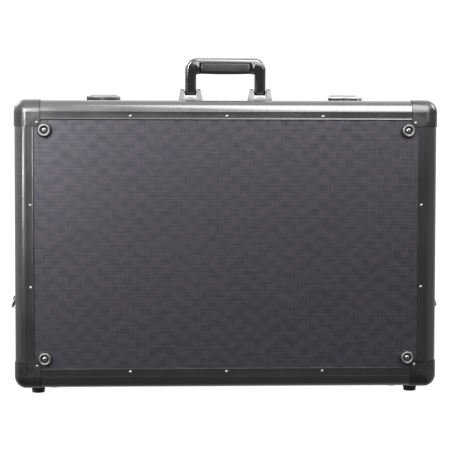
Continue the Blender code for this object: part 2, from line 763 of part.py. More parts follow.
def build_strap_rings(chrome):
    """On each side of the base: a loop bracket, and a ring that leans out on the bracket's lip."""
    y = FRONT + 0.054
    pivot_z = BOTTOM + 0.1346
    pivot_proud = 0.0014
    plate_top, plate_half = 0.0075, 0.010
    sleeve_radius, sleeve_half = 0.0042, 0.007
    lip_low, lip_high, lip_proud = -0.0165, -0.0115, 0.0026
    wire = 0.002
    lean = math.radians(21)
    seat, plate = -SHEET_UNDER, -SHEET_UNDER + LEAF
    for name, side in (("left", -1), ("right", 1)):
        wall = side * WIDTH / 2
        pivot = Vector((wall + side * pivot_proud, y, pivot_z))

        def place(a, b, t):
            return Vector((wall + side * a, y + t, pivot_z + b))

        outline = [(seat, plate_top), (plate, plate_top), (plate, lip_high)]
        outline += [(lip_proud, lip_high - 0.0008), (lip_proud, lip_low + 0.0012)]
        outline += [(plate, lip_low), (seat, lip_low)]
        bracket = prism(f"strap_bracket_{name}", outline, place, -plate_half, plate_half, chrome)
        sleeve = arc((pivot_proud, 0), sleeve_radius, -120, 120, 12)
        sleeve += [(seat + 0.0008, 0.0036), (seat + 0.0008, -0.0036)]
        combine(bracket, prism("tool", sleeve, place, -sleeve_half, sleeve_half, chrome), "UNION")
        hole = rod(wire + PIN_CLEARANCE, 0.02)
        combine(bracket, turned("tool", hole, pivot, Vector((0, 1, 0)), chrome, PIN_SIDES), "DIFFERENCE")

        down = Vector((side * math.sin(lean), 0, -math.cos(lean)))
        points = [pivot + Vector((0, across, 0)) + down * drop for across, drop in ring_route()]
        ring = tube_loop(points, wire, down.cross(Vector((0, 1, 0))), 8)
        make_object(f"strap_ring_{name}", ring, chrome)


def ring_route():
    """A D-shaped loop as (across, drop): a straight pin and a bowed return."""
    half_width, drop, steps = 0.013, 0.0142, 12
    route = [(half_width * share, 0.0) for share in (-1, -0.5, 0, 0.5, 1)]
    for step in range(1, steps):
        angle = math.pi * step / steps
        route.append((half_width * math.cos(angle), drop * math.sin(angle) ** 0.6))
    return route


def tube_loop(points, radius, normal, sides):
    """A closed tube through points that lie in the plane of the given normal."""
    normal = normal.normalized()
    sections = []
    count = len(points)
    for index, here in enumerate(points):
        before, after = points[index - 1], points[(index + 1) % count]
        arrive = (here - before).normalized()
        leave = (after - here).normalized()
        direction = (arrive + leave).normalized()
        outward = direction.cross(normal)
        mitre = 1 / max(direction.dot(arrive), 0.6)
        ring = arc((0, 0), radius, 0, 360 - 360 / sides, sides - 1)
        sections.append([here + outward * (a * mitre) + normal * b for a, b in ring])
    return bridge_sections(sections, closed=True)


def build_case():
    clear_scene()
    frame_metal = make_material("frame_aluminium", (0.16, 0.16, 0.165), 0.38, 1.0)
    cap_metal = make_material("corner_metal", (0.30, 0.30, 0.30), 0.30, 1.0)
    laminate = make_material("laminate", (0.075, 0.075, 0.085), 0.50, 0.0)
    foam = make_material("lining_foam", (0.06, 0.06, 0.065), 0.95, 0.0)
    chrome = make_material("chrome", (0.75, 0.75, 0.75), 0.18, 1.0)
    gloss = make_material("handle_gloss", (0.010, 0.010, 0.011), 0.12, 0.0)
    grip_rubber = make_material("grip_rubber", (0.018, 0.018, 0.020), 0.55, 0.0)
    rubber = make_material("foot_rubber", (0.020, 0.020, 0.020), 0.60, 0.0)
    button_metal = make_material("button_metal", (0.55, 0.55, 0.56), 0.25, 1.0)

    base = Half("base", FRONT, 1, BASE_DEPTH)
    lid = Half("lid", BACK, -1, LID_DEPTH)
    for half in (base, lid):
        build_shell(half, frame_metal, cap_metal, laminate, foam)
    build_feet(rubber)
    build_hinges(chrome)
    build_latches(chrome, button_metal)
    build_handle(gloss, grip_rubber, chrome)
    build_strap_rings(chrome)


build_case()
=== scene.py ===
"""Looks of the aluminium attache case: finishes, rivets, screws, foot rings, foam, lights and camera."""
import json
import math

import bmesh
import bpy
from mathutils import Matrix, Vector


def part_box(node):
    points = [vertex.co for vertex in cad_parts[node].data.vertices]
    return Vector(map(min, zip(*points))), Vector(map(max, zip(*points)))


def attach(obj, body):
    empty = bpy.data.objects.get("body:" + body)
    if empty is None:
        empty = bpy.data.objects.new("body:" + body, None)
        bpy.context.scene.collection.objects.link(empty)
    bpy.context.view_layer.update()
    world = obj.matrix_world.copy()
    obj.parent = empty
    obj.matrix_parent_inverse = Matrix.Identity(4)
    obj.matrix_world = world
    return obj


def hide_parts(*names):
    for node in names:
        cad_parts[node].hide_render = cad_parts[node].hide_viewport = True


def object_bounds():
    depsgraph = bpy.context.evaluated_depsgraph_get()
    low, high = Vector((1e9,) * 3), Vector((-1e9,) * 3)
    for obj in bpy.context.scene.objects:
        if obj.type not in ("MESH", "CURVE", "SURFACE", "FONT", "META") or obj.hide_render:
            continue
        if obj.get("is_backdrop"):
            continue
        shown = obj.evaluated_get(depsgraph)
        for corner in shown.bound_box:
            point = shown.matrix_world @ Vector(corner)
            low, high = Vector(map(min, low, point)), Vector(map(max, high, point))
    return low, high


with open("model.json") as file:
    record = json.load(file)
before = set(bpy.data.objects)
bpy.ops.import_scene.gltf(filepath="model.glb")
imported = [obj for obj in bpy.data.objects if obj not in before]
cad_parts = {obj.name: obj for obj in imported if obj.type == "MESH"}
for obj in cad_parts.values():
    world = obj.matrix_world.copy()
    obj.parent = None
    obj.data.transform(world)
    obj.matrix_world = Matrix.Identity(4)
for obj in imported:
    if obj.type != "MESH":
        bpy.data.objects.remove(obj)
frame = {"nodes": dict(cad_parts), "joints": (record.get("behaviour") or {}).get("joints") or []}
CAD_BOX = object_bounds()

# Places read from the frame
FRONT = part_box("base_frame_top")[0].y
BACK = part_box("lid_frame_top")[1].y
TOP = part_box("base_frame_top")[1].z
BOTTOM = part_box("base_frame_bottom")[0].z
HALF_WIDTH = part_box("base_frame_right")[1].x
PIVOT = Vector(next(joint["pos_m"] for joint in frame["joints"] if joint["name"] == "handle_fold"))
MIDDLE = Vector((0, (FRONT + BACK) / 2, (BOTTOM + TOP) / 2))
SIDES = (("left", -1), ("right", 1))
HALVES = (("base", FRONT, 1), ("lid", BACK, -1))  # name, face plane and the way inward

# Shell extrusions and caps, as the frame has them
FLANGE_DROP = 0.0016  # flange surface below the nose
CAP_PLATE_DROP = 0.0001
RIVET_INSET = 0.0246  # edge of the case to a row of rivets
RIM_RIVET_INSET = {"base": 0.0075, "lid": 0.0050}  # edge of the parting extrusion to its rivets
POST_RIVET_DEPTH = {"base": 0.071, "lid": 0.044}  # face of the case to the corner posts' rivets
CAP_RIVET_INSET = 0.0345
CAP_REACH = HALF_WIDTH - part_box("base_corner_top_right")[0].x
RIVET_X = (-0.148, 0.0, 0.148)
RIVET_BELOW_TOP = (0.161, 0.287)
PLATE_RISE = 0.0002  # top of hinge, latch and bracket plates above the shell
LEAF_RIVET_INSET = 0.0068
STRAP_PLATE_DROP = 0.0013  # strap bracket's plate below the side of the case
PIN_END = 0.0701  # middle of the case to the outer end of a handle pin


# Node materials ------------------------------------------------------------------------------------

class Finish:
    """A Principled material, with short calls for the nodes that feed it."""

    def __init__(self, name, colour, roughness, metallic=0.0, **sockets):
        self.material = bpy.data.materials.new(name)
        self.material.use_nodes = True
        self.material.diffuse_color = (*colour, 1.0)
        self.nodes = self.material.node_tree.nodes
        self.links = self.material.node_tree.links
        self.shader = self.nodes["Principled BSDF"]
        self.shader.inputs["Base Color"].default_value = (*colour, 1.0)
        self.shader.inputs["Roughness"].default_value = roughness
        self.shader.inputs["Metallic"].default_value = metallic
        for socket, value in sockets.items():
            self.shader.inputs[socket.replace("_", " ")].default_value = value
        self.coordinates = self.nodes.new("ShaderNodeTexCoord").outputs["Object"]

    def stretched(self, scale):
        """Object coordinates times a scale on each axis."""
        mapping = self.nodes.new("ShaderNodeMapping")
        mapping.inputs["Scale"].default_value = scale
        self.links.new(self.coordinates, mapping.inputs["Vector"])
        return mapping.outputs["Vector"]

    def noise(self, scale, detail=3.0, roughness=0.5, vector=None):
        """Noise of about one feature a unit of scale; a triple stretches it on each axis."""
        triple = scale if isinstance(scale, tuple) else (scale, scale, scale)
        texture = self.nodes.new("ShaderNodeTexNoise")
        texture.inputs["Scale"].default_value = 1.0
        texture.inputs["Detail"].default_value = detail
        texture.inputs["Roughness"].default_value = roughness
        self.links.new(vector or self.stretched(triple), texture.inputs["Vector"])
        return texture.outputs["Fac"]

    def math(self, operation, first, second=0.0, third=0.0):
        node = self.nodes.new("ShaderNodeMath")
        node.operation = operation
        for socket, value in zip(node.inputs, (first, second, third)):
            if isinstance(value, (int, float)):
                socket.default_value = value
            else:
                self.links.new(value, socket)
        return node.outputs[0]

    def remap(self, value, low, high, to_low, to_high):
        """Maps low..high to to_low..to_high, and holds the ends."""
        node = self.nodes.new("ShaderNodeMapRange")
        node.interpolation_type = "SMOOTHSTEP"
        self.links.new(value, node.inputs["Value"])
        for socket, number in zip(node.inputs[1:5], (low, high, to_low, to_high)):
            socket.default_value = number
        return node.outputs["Result"]

    def mix(self, factor, first, second):
        """Blends two colours, given as triples or as sockets."""
        node = self.nodes.new("ShaderNodeMix")
        node.data_type = "RGBA"
        self.links.new(factor, node.inputs["Factor"])
        for socket, value in ((node.inputs[6], first), (node.inputs[7], second)):
            if isinstance(value, tuple):
                socket.default_value = (*value, 1.0)
            else:
                self.links.new(value, socket)
        return node.outputs[2]

    def colour(self, socket):
        self.links.new(socket, self.shader.inputs["Base Color"])

    def roughness(self, socket):
        self.links.new(socket, self.shader.inputs["Roughness"])

    def bump(self, height, distance, strength=1.0):
        node = self.nodes.new("ShaderNodeBump")
        node.inputs["Strength"].default_value = strength
        node.inputs["Distance"].default_value = distance
        self.links.new(height, node.inputs["Height"])
        self.links.new(node.outputs["Normal"], self.shader.inputs["Normal"])


def shade(colour, factor):
    return tuple(channel * factor for channel in colour)


def extrusion_metal(name, along):
    """Gunmetal anodised aluminium with draw lines along one axis (0, 1 or 2)."""
    base = (0.17, 0.17, 0.168)
    finish = Finish(name, base, 0.3, 1.0)
    lines = [1400.0, 1400.0, 1400.0]
    lines[along] = 6.0
    drawn = finish.noise(tuple(lines), detail=2.0)
    cloudy = finish.noise(14.0, detail=4.0, roughness=0.6)
    scuffs = finish.noise((220.0, 260.0, 240.0), detail=6.0, roughness=0.75)
    tone = finish.math("ADD", finish.math("MULTIPLY", drawn, 0.5), finish.math("MULTIPLY", cloudy, 0.5))
    clean = finish.mix(finish.remap(tone, 0.35, 0.65, 0.0, 1.0), shade(base, 0.93), shade(base, 1.07))
    finish.colour(finish.mix(finish.remap(scuffs, 0.66, 0.76, 0.0, 0.4), clean, shade(base, 1.5)))
    finish.roughness(finish.remap(tone, 0.3, 0.7, 0.17, 0.23))
    finish.bump(drawn, 0.00002)
    return finish.material


def pressed_metal():
    """Corner caps: the same gunmetal finish on pressed steel, a little orange-peeled and scuffed."""
    base = (0.105, 0.108, 0.106)
    finish = Finish("cap_gunmetal", base, 0.3, 1.0)
    cloudy = finish.noise(30.0, detail=5.0, roughness=0.6)
    peel = finish.noise(520.0, detail=2.0)
    scuffs = finish.noise((300.0, 200.0, 260.0), detail=8.0, roughness=0.8)
    clean = finish.mix(finish.remap(cloudy, 0.35, 0.65, 0.0, 1.0), shade(base, 0.85), shade(base, 1.15))
    worn = finish.mix(finish.remap(scuffs, 0.64, 0.74, 0.0, 0.8), clean, shade(base, 2.0))

    # A painted dark line of shade along the seams at the ends of each cap, where the gap to the extrusion
    # falls in shadow
    place = finish.nodes.new("ShaderNodeSeparateXYZ")
    finish.links.new(finish.coordinates, place.inputs["Vector"])
    from_side = finish.math("SUBTRACT", HALF_WIDTH, finish.math("ABSOLUTE", place.outputs["X"]))
    from_middle = finish.math("ABSOLUTE", finish.math("SUBTRACT", place.outputs["Z"], MIDDLE.z))
    from_level = finish.math("SUBTRACT", (TOP - BOTTOM) / 2, from_middle)
    reach = finish.math("MAXIMUM", from_side, from_level)
    painted_seam_shade = finish.remap(reach, CAP_REACH - 0.0011, CAP_REACH - 0.0004, 0.0, 0.85)
    finish.colour(finish.mix(painted_seam_shade, worn, shade(base, 0.12)))

    finish.roughness(finish.remap(cloudy, 0.3, 0.7, 0.24, 0.34))
    finish.bump(peel, 0.00005, 0.5)
    return finish.material


def rim_metal():
    """Parting extrusions, which run all round: draw lines follow whichever way the wall runs."""
    base = (0.17, 0.17, 0.168)
    finish = Finish("rim_aluminium", base, 0.3, 1.0)
    normal = finish.nodes.new("ShaderNodeTexCoord").outputs["Normal"]
    split = finish.nodes.new("ShaderNodeSeparateXYZ")
    finish.links.new(normal, split.inputs["Vector"])
    upright = finish.remap(finish.math("ABSOLUTE", split.outputs["X"]), 0.6, 0.8, 0.0, 1.0)
    flat_lines = finish.noise((6.0, 1400.0, 1400.0), detail=2.0)
    upright_lines = finish.noise((1400.0, 1400.0, 6.0), detail=2.0)
    across = finish.math("SUBTRACT", upright_lines, flat_lines)
    drawn = finish.math("MULTIPLY_ADD", across, upright, flat_lines)
    tone = finish.remap(drawn, 0.3, 0.7, 0.0, 1.0)
    finish.colour(finish.mix(tone, shade(base, 0.9), shade(base, 1.1)))
    finish.roughness(finish.remap(drawn, 0.3, 0.7, 0.20, 0.27))
    finish.bump(drawn, 0.00002)
    return finish.material


def woven_laminate():
    """Dark laminate with a fine embossed weave, whose threads follow each wall."""
    finish = Finish("woven_laminate", (0.03, 0.03, 0.034), 0.30, 0.0, IOR=1.75, Specular_IOR_Level=1.0)
    position = finish.nodes.new("ShaderNodeSeparateXYZ")
    finish.links.new(finish.coordinates, position.inputs["Vector"])
    normal = finish.nodes.new("ShaderNodeSeparateXYZ")
    finish.links.new(finish.nodes.new("ShaderNodeTexCoord").outputs["Normal"], normal.inputs["Vector"])
    side_wall = finish.remap(finish.math("ABSOLUTE", normal.outputs["X"]), 0.6, 0.8, 0.0, 1.0)
    level_wall = finish.remap(finish.math("ABSOLUTE", normal.outputs["Z"]), 0.6, 0.8, 0.0, 1.0)
    x, y, z = position.outputs["X"], position.outputs["Y"], position.outputs["Z"]
    across = finish.math("MULTIPLY_ADD", finish.math("SUBTRACT", y, x), side_wall, x)
    up = finish.math("MULTIPLY_ADD", finish.math("SUBTRACT", y, z), level_wall, z)

    plane = finish.nodes.new("ShaderNodeCombineXYZ")
    finish.links.new(across, plane.inputs["X"])
    finish.links.new(up, plane.inputs["Y"])

    def product(first, second):
        return finish.math("MULTIPLY", first, second)

    def wave(value, pitch, shift=0.0):
        turns = finish.math("MULTIPLY_ADD", value, 2 * math.pi / pitch, shift)
        return finish.math("SINE", turns)

    def streaks(scale):
        mapping = finish.nodes.new("ShaderNodeMapping")
        mapping.inputs["Scale"].default_value = scale
        finish.links.new(plane.outputs["Vector"], mapping.inputs["Vector"])
        return finish.noise(1.0, detail=2.0, vector=mapping.outputs["Vector"])

    # Threads, a coarser grid over them, and thick and thin threads both ways
    weave = product(wave(across, 0.0024), wave(up, 0.0024))
    grid = finish.math("ADD", wave(across, 0.0062), wave(up, 0.0050))
    slubs = streaks((16.0, 420.0, 1.0))
    upright_slubs = streaks((420.0, 20.0, 1.0))

    # Soft staggered blotches, wandering from side to side
    drift = product(streaks((5.0, 5.0, 1.0)), 14.0)
    swell = product(wave(across, 0.056, 0.4), wave(up, 0.026))
    ripple = finish.math("SINE", finish.math("ADD", product(across, 225.0), drift))
    ripple = product(ripple, wave(up, 0.0255, 0.9))
    blotches = finish.math("ADD", product(swell, 0.35), product(ripple, 0.65))
    blotches = product(blotches, streaks((9.0, 9.0, 1.0)))

    tone = finish.math("ADD", product(slubs, 0.30), product(upright_slubs, 0.22))
    for part, weight in ((blotches, 0.17), (grid, 0.012), (weave, 0.03)):
        tone = finish.math("MULTIPLY_ADD", part, weight, tone)
    lit = finish.remap(tone, 0.16, 0.38, 0.0, 1.0)
    finish.colour(finish.mix(lit, (0.0035, 0.0033, 0.0052), (0.0115, 0.0108, 0.0150)))
    sheen = finish.mix(lit, (0.50, 0.49, 0.58), (0.98, 0.94, 1.0))
    finish.links.new(sheen, finish.shader.inputs["Specular Tint"])
    finish.roughness(finish.remap(tone, 0.16, 0.38, 0.35, 0.27))
    finish.bump(finish.math("MULTIPLY_ADD", tone, 1.2, weave), 0.00004, 0.5)
    return finish.material


def plated_metal(name, base, low, high):
    """Bright plating with cloudy roughness, fine pits and soft smears."""
    finish = Finish(name, base, low, 1.0)
    cloudy = finish.noise(60.0, detail=4.0)
    pits = finish.noise(1600.0, detail=3.0)
    finish.colour(finish.mix(finish.remap(cloudy, 0.3, 0.7, 0.0, 1.0), shade(base, 0.88), base))
    finish.roughness(finish.remap(cloudy, 0.3, 0.7, low, high))
    finish.bump(pits, 0.00003, 0.3)
    return finish.material


def moulded_plastic(name, base, low, high, grain, depth, **sockets):
    """Moulded plastic or rubber: cloudy roughness, a fine grain and a little dust."""
    finish = Finish(name, base, low, 0.0, **sockets)
    cloudy = finish.noise(45.0, detail=4.0)
    skin = finish.noise(grain, detail=2.0)
    dust = finish.noise(400.0, detail=7.0, roughness=0.8)
    clean = finish.mix(finish.remap(cloudy, 0.3, 0.7, 0.0, 1.0), shade(base, 0.8), shade(base, 1.25))
    finish.colour(finish.mix(finish.remap(dust, 0.68, 0.80, 0.0, 0.5), clean, shade(base, 4.0)))
    finish.roughness(finish.remap(cloudy, 0.3, 0.7, low, high))
    finish.bump(skin, depth, 0.5)
    return finish.material


def open_foam():
    """Dark open-cell foam, with painted shade in its pores."""
    base = (0.030, 0.030, 0.033)
    finish = Finish("open_foam", base, 0.95, 0.0, Specular_IOR_Level=0.2)
    cells = finish.nodes.new("ShaderNodeTexVoronoi")
    cells.inputs["Scale"].default_value = 1.0
    finish.links.new(finish.stretched((900.0, 900.0, 900.0)), cells.inputs["Vector"])
    cloudy = finish.noise(80.0, detail=5.0)
    # Half the tone comes from the cells: darker in their pits, where the bump sinks them, as painted
    # shade in the pores; the other half is a cloudy tone
    lit = finish.remap(cells.outputs["Distance"], 0.1, 0.8, 0.0, 1.0)
    tone = finish.math("MULTIPLY_ADD", cloudy, 0.5, finish.math("MULTIPLY", lit, 0.5))
    finish.colour(finish.mix(tone, shade(base, 0.55), shade(base, 1.6)))
    finish.roughness(finish.remap(cloudy, 0.3, 0.7, 0.88, 0.98))
    finish.bump(cells.outputs["Distance"], 0.0004, 0.7)
    return finish.material


ALONG_X, ALONG_Y, ALONG_Z = 0, 1, 2
EXTRUSION = {
    ALONG_X: extrusion_metal("extrusion_along_x", ALONG_X),
    ALONG_Y: extrusion_metal("extrusion_along_y", ALONG_Y),
    ALONG_Z: extrusion_metal("extrusion_along_z", ALONG_Z),
}
RIM = rim_metal()
CAP = pressed_metal()
LAMINATE = woven_laminate()
PLATED = plated_metal("bright_plating", (0.62, 0.62, 0.63), 0.12, 0.20)
LATCH_PLATED = plated_metal("latch_plating", (0.36, 0.36, 0.37), 0.12, 0.20)
BRACKET_PLATED = plated_metal("bracket_plating", (0.17, 0.17, 0.17), 0.40, 0.52)
RING_METAL = plated_metal("satin_ring", (0.26, 0.26, 0.255), 0.34, 0.44)
RIVET_METAL = plated_metal("rivet_steel", (0.32, 0.32, 0.315), 0.22, 0.32)
GLOSS = moulded_plastic("handle_gloss_black", (0.0045, 0.0045, 0.005), 0.06, 0.14, 260.0, 0.00002,
                        Specular_IOR_Level=1.0, Coat_Weight=1.0, Coat_Roughness=0.05, Coat_IOR=1.7)
GRIP = moulded_plastic("grip_black", (0.012, 0.012, 0.013), 0.32, 0.42, 900.0, 0.00008)
RUBBER = moulded_plastic("foot_black", (0.010, 0.010, 0.010), 0.38, 0.55, 700.0, 0.00006)
FOAM = open_foam()


def dress_frame():
    """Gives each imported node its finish."""
    for half, _, _ in HALVES:
        for side in ("top", "bottom"):
            finish_node(f"{half}_frame_{side}", EXTRUSION[ALONG_X])
        for side, _ in SIDES:
            finish_node(f"{half}_frame_{side}", EXTRUSION[ALONG_Z])
        for level in ("top", "bottom"):
            for side, _ in SIDES:
                finish_node(f"{half}_post_{level}_{side}", EXTRUSION[ALONG_Y])
                finish_node(f"{half}_corner_{level}_{side}", CAP)
        finish_node(f"{half}_rim", RIM)
        finish_node(f"{half}_panel", LAMINATE)
        finish_node(f"{half}_band", LAMINATE)
    finish_node("handle_bow", GLOSS, smooth_angle=60.0)
    finish_node("handle_grip", GRIP, smooth_angle=60.0)
    for side, _ in SIDES:
        finish_node(f"handle_bracket_{side}", BRACKET_PLATED, edge=0.0006)
        finish_node(f"latch_plate_{side}", LATCH_PLATED, edge=0.00025)
        finish_node(f"hasp_{side}", LATCH_PLATED, edge=0.00025)
        finish_node(f"lock_body_{side}", LATCH_PLATED, edge=0.0005)
        finish_node(f"lock_button_{side}", PLATED, edge=0.0005)
        finish_node(f"strap_bracket_{side}", PLATED, edge=0.00025)
        finish_node(f"strap_ring_{side}", PLATED)
        for half, _, _ in HALVES:
            finish_node(f"hinge_{side}_{half}_leaf", LATCH_PLATED, edge=0.00025)


def smooth_by_angle(limit):
    """A geometry-nodes group that shades smooth and keeps edges sharper than limit (degrees) sharp."""
    name = f"smooth_under_{limit:.0f}_degrees"
    if name in bpy.data.node_groups:
        return bpy.data.node_groups[name]
    group = bpy.data.node_groups.new(name, "GeometryNodeTree")
    group.interface.new_socket("Geometry", in_out="INPUT", socket_type="NodeSocketGeometry")
    group.interface.new_socket("Geometry", in_out="OUTPUT", socket_type="NodeSocketGeometry")
    start = group.nodes.new("NodeGroupInput")
    end = group.nodes.new("NodeGroupOutput")
    angle = group.nodes.new("GeometryNodeInputMeshEdgeAngle")
    gentle = group.nodes.new("FunctionNodeCompare")
    gentle.operation = "LESS_EQUAL"
    gentle.inputs["B"].default_value = math.radians(limit)
    faces = group.nodes.new("GeometryNodeSetShadeSmooth")
    faces.domain = "FACE"
    edges = group.nodes.new("GeometryNodeSetShadeSmooth")
    edges.domain = "EDGE"
    group.links.new(angle.outputs["Unsigned Angle"], gentle.inputs["A"])
    group.links.new(gentle.outputs["Result"], edges.inputs["Shade Smooth"])
    group.links.new(start.outputs["Geometry"], faces.inputs["Geometry"])
    group.links.new(faces.outputs["Geometry"], edges.inputs["Geometry"])
    group.links.new(edges.outputs["Geometry"], end.inputs["Geometry"])
    return group


def finish_node(name, material, edge=0.0, smooth_angle=35.0):
    """Repaints a node and shades its curves smooth. Modifiers do it, so its mesh stays as it is.

    A node with an edge radius also gets its outer edges rounded by that much.
    """
    node = frame["nodes"][name]
    node.data.materials.clear()
    node.data.materials.append(material)
    weld = node.modifiers.new("joined_corners", "WELD")
    weld.merge_threshold = 0.000005
    if edge:
        merge = node.modifiers.new("one_face_per_flat", "DECIMATE")
        merge.decimate_type = "DISSOLVE"
        merge.angle_limit = math.radians(1.0)
        rounded = node.modifiers.new("rounded_edges", "BEVEL")
        rounded.width = edge
        rounded.segments = 2
        rounded.limit_method = "ANGLE"
        rounded.angle_limit = math.radians(40.0)
    smoother = node.modifiers.new("smooth_by_angle", "NODES")
    smoother.node_group = smooth_by_angle(smooth_angle)
    flats = node.modifiers.new("flats_stay_flat", "WEIGHTED_NORMAL")
    flats.keep_sharp = True


# Pieces --------------------------------------------------------------------------------------------

def make_piece(name, builder, material, body, smooth_angle=40.0):
    """Turns a bmesh into a piece that rides on a body."""
    bmesh.ops.recalc_face_normals(builder, faces=builder.faces)
    mesh = bpy.data.meshes.new(name)
    builder.to_mesh(mesh)
    builder.free()
    mesh.shade_smooth()
    mesh.set_sharp_from_angle(angle=math.radians(smooth_angle))
    mesh.materials.append(material)
    piece = bpy.data.objects.new(name, mesh)
    bpy.context.scene.collection.objects.link(piece)
    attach(piece, body)
    return piece


def arc(centre, radius, start, end, steps):
    """Points of an arc in a plane, angles in degrees, both ends included."""
    points = []
    for step in range(steps + 1):
        angle = math.radians(start + (end - start) * step / steps)
        points.append((centre[0] + radius * math.cos(angle), centre[1] + radius * math.sin(angle)))
    return points


def lathe(builder, profile, place, sides=32):
    """Adds a turned shape. Its profile is (radius, height) from the lowest rim to the top.

    A radius of 0 closes it at the axis, and a profile that ends where it starts makes a ring.
    """
    rings = []
    for radius, height in profile:
        if radius == 0:
            rings.append([builder.verts.new(place @ Vector((0, 0, height)))])
            continue
        turn = [2 * math.pi * side / sides for side in range(sides)]
        points = [Vector((radius * math.cos(a), radius * math.sin(a), height)) for a in turn]
        rings.append([builder.verts.new(place @ point) for point in points])
    for lower, upper in zip(rings, rings[1:]):
        for side in range(sides):
            following = (side + 1) % sides
            corners = [lower[side % len(lower)], lower[following % len(lower)]]
            corners += [upper[following % len(upper)], upper[side % len(upper)]]
            face = list(dict.fromkeys(corners))
            if len(face) > 2:
                builder.faces.new(face)
    for ring in (rings[0], rings[-1]):
        if len(ring) > 1 and profile[0] != profile[-1]:
            builder.faces.new(ring)


def facing(point, direction):
    """A matrix that puts a shape's +Z along direction, at point."""
    turn = Vector(direction).to_track_quat("Z", "Y").to_matrix().to_4x4()
    return Matrix.Translation(point) @ turn


def rivet_profile(radius, height):
    """Domed head with a dimple where the stem broke off."""
    hem = height * 0.25
    dome = [(radius, -0.0003), (radius, hem)]
    for step in range(1, 6):
        angle = math.radians(90 * step / 6)
        dome.append((radius * math.cos(angle), hem + (height - hem) * math.sin(angle)))
    dimple = radius * 0.34
    dome += [(dimple, height * 0.99), (dimple * 0.8, height * 0.45), (0, height * 0.40)]
    return dome


def rivets(name, places, body, radius=0.0026, height=0.0012):
    """One piece with a rivet head at each (point, direction)."""
    builder = bmesh.new()
    for point, direction in places:
        lathe(builder, rivet_profile(radius, height), facing(point, direction), sides=20)
    return make_piece(name, builder, RIVET_METAL, body, smooth_angle=60.0)


def shell_rivets():
    """Rows of rivets along every extrusion, on the faces and on the walls, and one on each cap plate."""
    for half, face, inward in HALVES:
        rows = face_rows(face + inward * FLANGE_DROP, Vector((0, -inward, 0)))
        depth = abs(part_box(f"{half}_rim")[0 if inward < 0 else 1].y - face)
        for from_face in (RIVET_INSET, depth - RIM_RIVET_INSET[half]):
            rows += wall_row(face + inward * from_face, FLANGE_DROP)
        rivets(f"{half}_frame_rivets", rows, half)

        corner = []
        for side in (-1, 1):
            for level, z_side in ((TOP, 1), (BOTTOM, -1)):
                corner += corner_rivets(half, face, inward, side, level, z_side)
        rivets(f"{half}_corner_rivets", corner, half)


def face_rows(surface, outward):
    """Rivets along the four extrusions of a face."""
    rows = []
    for x in RIVET_X:
        rows.append((Vector((x, surface, TOP - RIVET_INSET)), outward))
        rows.append((Vector((x, surface, BOTTOM + RIVET_INSET)), outward))
    for below in RIVET_BELOW_TOP:
        for side in (-1, 1):
            x = side * (HALF_WIDTH - RIVET_INSET)
            rows.append((Vector((x, surface, TOP - below)), outward))
    return rows


def wall_row(y, drop):
    """Rivets around the four walls at one depth."""
    row = []
    for x in RIVET_X:
        row.append((Vector((x, y, TOP - drop)), Vector((0, 0, 1))))
        row.append((Vector((x, y, BOTTOM + drop)), Vector((0, 0, -1))))
    for below in RIVET_BELOW_TOP:
        for side in (-1, 1):
            wall = side * (HALF_WIDTH - drop)
            row.append((Vector((wall, y, TOP - below)), Vector((side, 0, 0))))
    return row


def corner_rivets(half, face, inward, side, level, z_side):
    """A rivet on each of a cap's three plates, and one on each wall beside its corner post."""
    sideways = Vector((side, 0, 0))
    upright = Vector((0, 0, z_side))
    x = side * (HALF_WIDTH - CAP_RIVET_INSET)
    y = face + inward * CAP_RIVET_INSET
    z = level - z_side * CAP_RIVET_INSET
    places = [
        (Vector((x, face + inward * CAP_PLATE_DROP, z)), Vector((0, -inward, 0))),
        (Vector((side * (HALF_WIDTH - CAP_PLATE_DROP), y, z)), sideways),
        (Vector((x, y, level - z_side * CAP_PLATE_DROP)), upright),
    ]
    y = face + inward * POST_RIVET_DEPTH[half]
    x = side * (HALF_WIDTH - RIVET_INSET)
    z = level - z_side * RIVET_INSET
    places.append((Vector((side * (HALF_WIDTH - FLANGE_DROP), y, z)), sideways))
    places.append((Vector((x, y, level - z_side * FLANGE_DROP)), upright))
    return places


def cross_screw(name, place, body, radius=0.00435, height=0.0018):
    """A pan-head screw with a cross recess."""
    profile = [(radius * 0.9, -0.002), (radius, 0.0), (radius, height * 0.35)]
    for degrees in (25, 45, 62, 76):
        angle = math.radians(degrees)
        profile.append((radius * math.cos(angle), height * (0.35 + 0.65 * math.sin(angle))))
    profile.append((0, height))
    builder = bmesh.new()
    lathe(builder, profile, Matrix.Identity(4), sides=32)
    head = make_piece(name, builder, RIVET_METAL, body, smooth_angle=50.0)
    for turn in (38, 128):
        arm = Matrix.Rotation(math.radians(turn), 4, "Z") @ Matrix.Translation((0, 0, height))
        carve(head, (radius * 0.60, radius * 0.14, height * 0.75), arm, taper=0.45)
    head.data.transform(place)
    return head


def carve(piece, reach, place, taper=1.0):
    """Cuts a box out of piece for good.

    The box reaches that far each way from its middle, and its lower end is taper times as long.
    """
    builder = bmesh.new()
    bmesh.ops.create_cube(builder, size=2.0)
    for corner in builder.verts:
        length = reach[0] * (taper if corner.co.z < 0 else 1.0)
        corner.co = (corner.co.x * length, corner.co.y * reach[1], corner.co.z * reach[2])
    builder.transform(place)
    mesh = bpy.data.meshes.new("cut")
    builder.to_mesh(mesh)
    builder.free()
    tool = bpy.data.objects.new("cut", mesh)
    bpy.context.scene.collection.objects.link(tool)
    modifier = piece.modifiers.new("cut", "BOOLEAN")
    modifier.operation = "DIFFERENCE"
    modifier.solver = "EXACT"
    modifier.object = tool
    graph = bpy.context.evaluated_depsgraph_get()
    result = bpy.data.meshes.new_from_object(piece.evaluated_get(graph))
    piece.modifiers.clear()
    piece.data = result
    bpy.data.objects.remove(tool, do_unlink=True)


